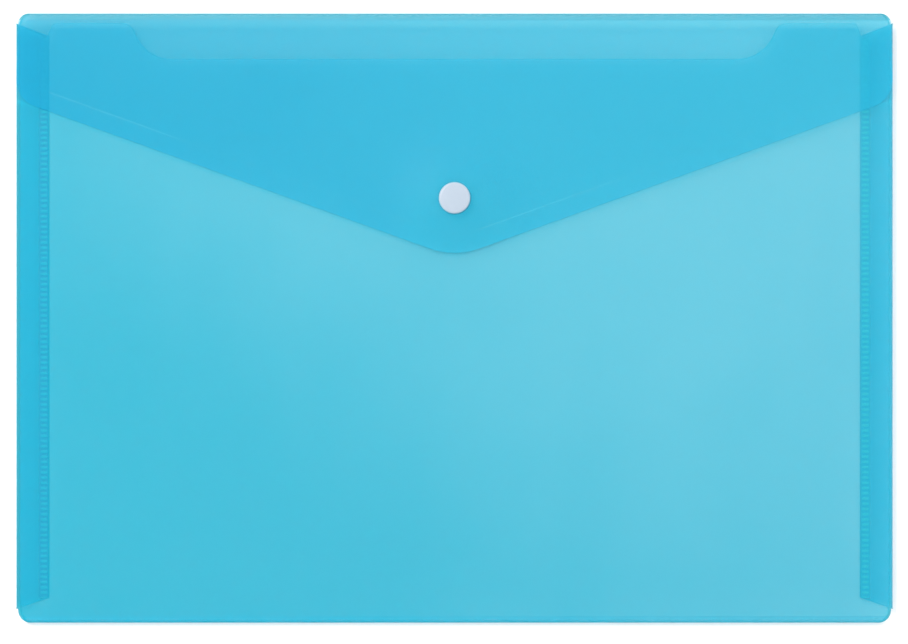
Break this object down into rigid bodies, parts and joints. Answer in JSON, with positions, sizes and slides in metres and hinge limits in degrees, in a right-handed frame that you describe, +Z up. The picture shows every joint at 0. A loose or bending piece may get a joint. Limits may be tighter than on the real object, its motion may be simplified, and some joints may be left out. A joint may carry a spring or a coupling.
{
  "type": "document wallet",
  "caption": "Flat document wallet of translucent sheet: a wide pocket with a finger cut-out and gusseted, welded sides, closed by a hinged V-shaped flap with a press stud.",
  "frame": {"origin": "centre of the footprint, on the underside of the back panel that the wallet lies on", "axes": "+X across the wallet to the right, +Y towards the top fold, +Z up out of the front"},
  "size_m": [0.335, 0.233, 0.0101],
  "materials": {
    "sheet": "translucent satin polypropylene",
    "weld": "pressed weld in the same sheet",
    "snap": "white moulded plastic"
  },
  "bodies": {
    "pocket": {"back_panel": "sheet", "bottom_fold": "sheet", "front_panel": "sheet", "left_side_fold": "sheet", "right_side_fold": "sheet", "left_side_tab": "sheet", "right_side_tab": "sheet", "left_weld_seam": "weld", "right_weld_seam": "weld", "top_fold": "sheet", "snap_stud": "snap", "snap_stud_cap": "snap"},
    "flap": {"flap_panel": "sheet", "snap_cap": "snap", "snap_socket": "snap"}
  },
  "joints": [
    {"name": "flap_hinge", "type": "hinge", "parent": "pocket", "child": "flap", "pos_m": [0, 0.11382, 0.00267], "axis": [-1, 0, 0], "range_deg": [0, 175], "deforming": ["top_fold"]}
  ]
}
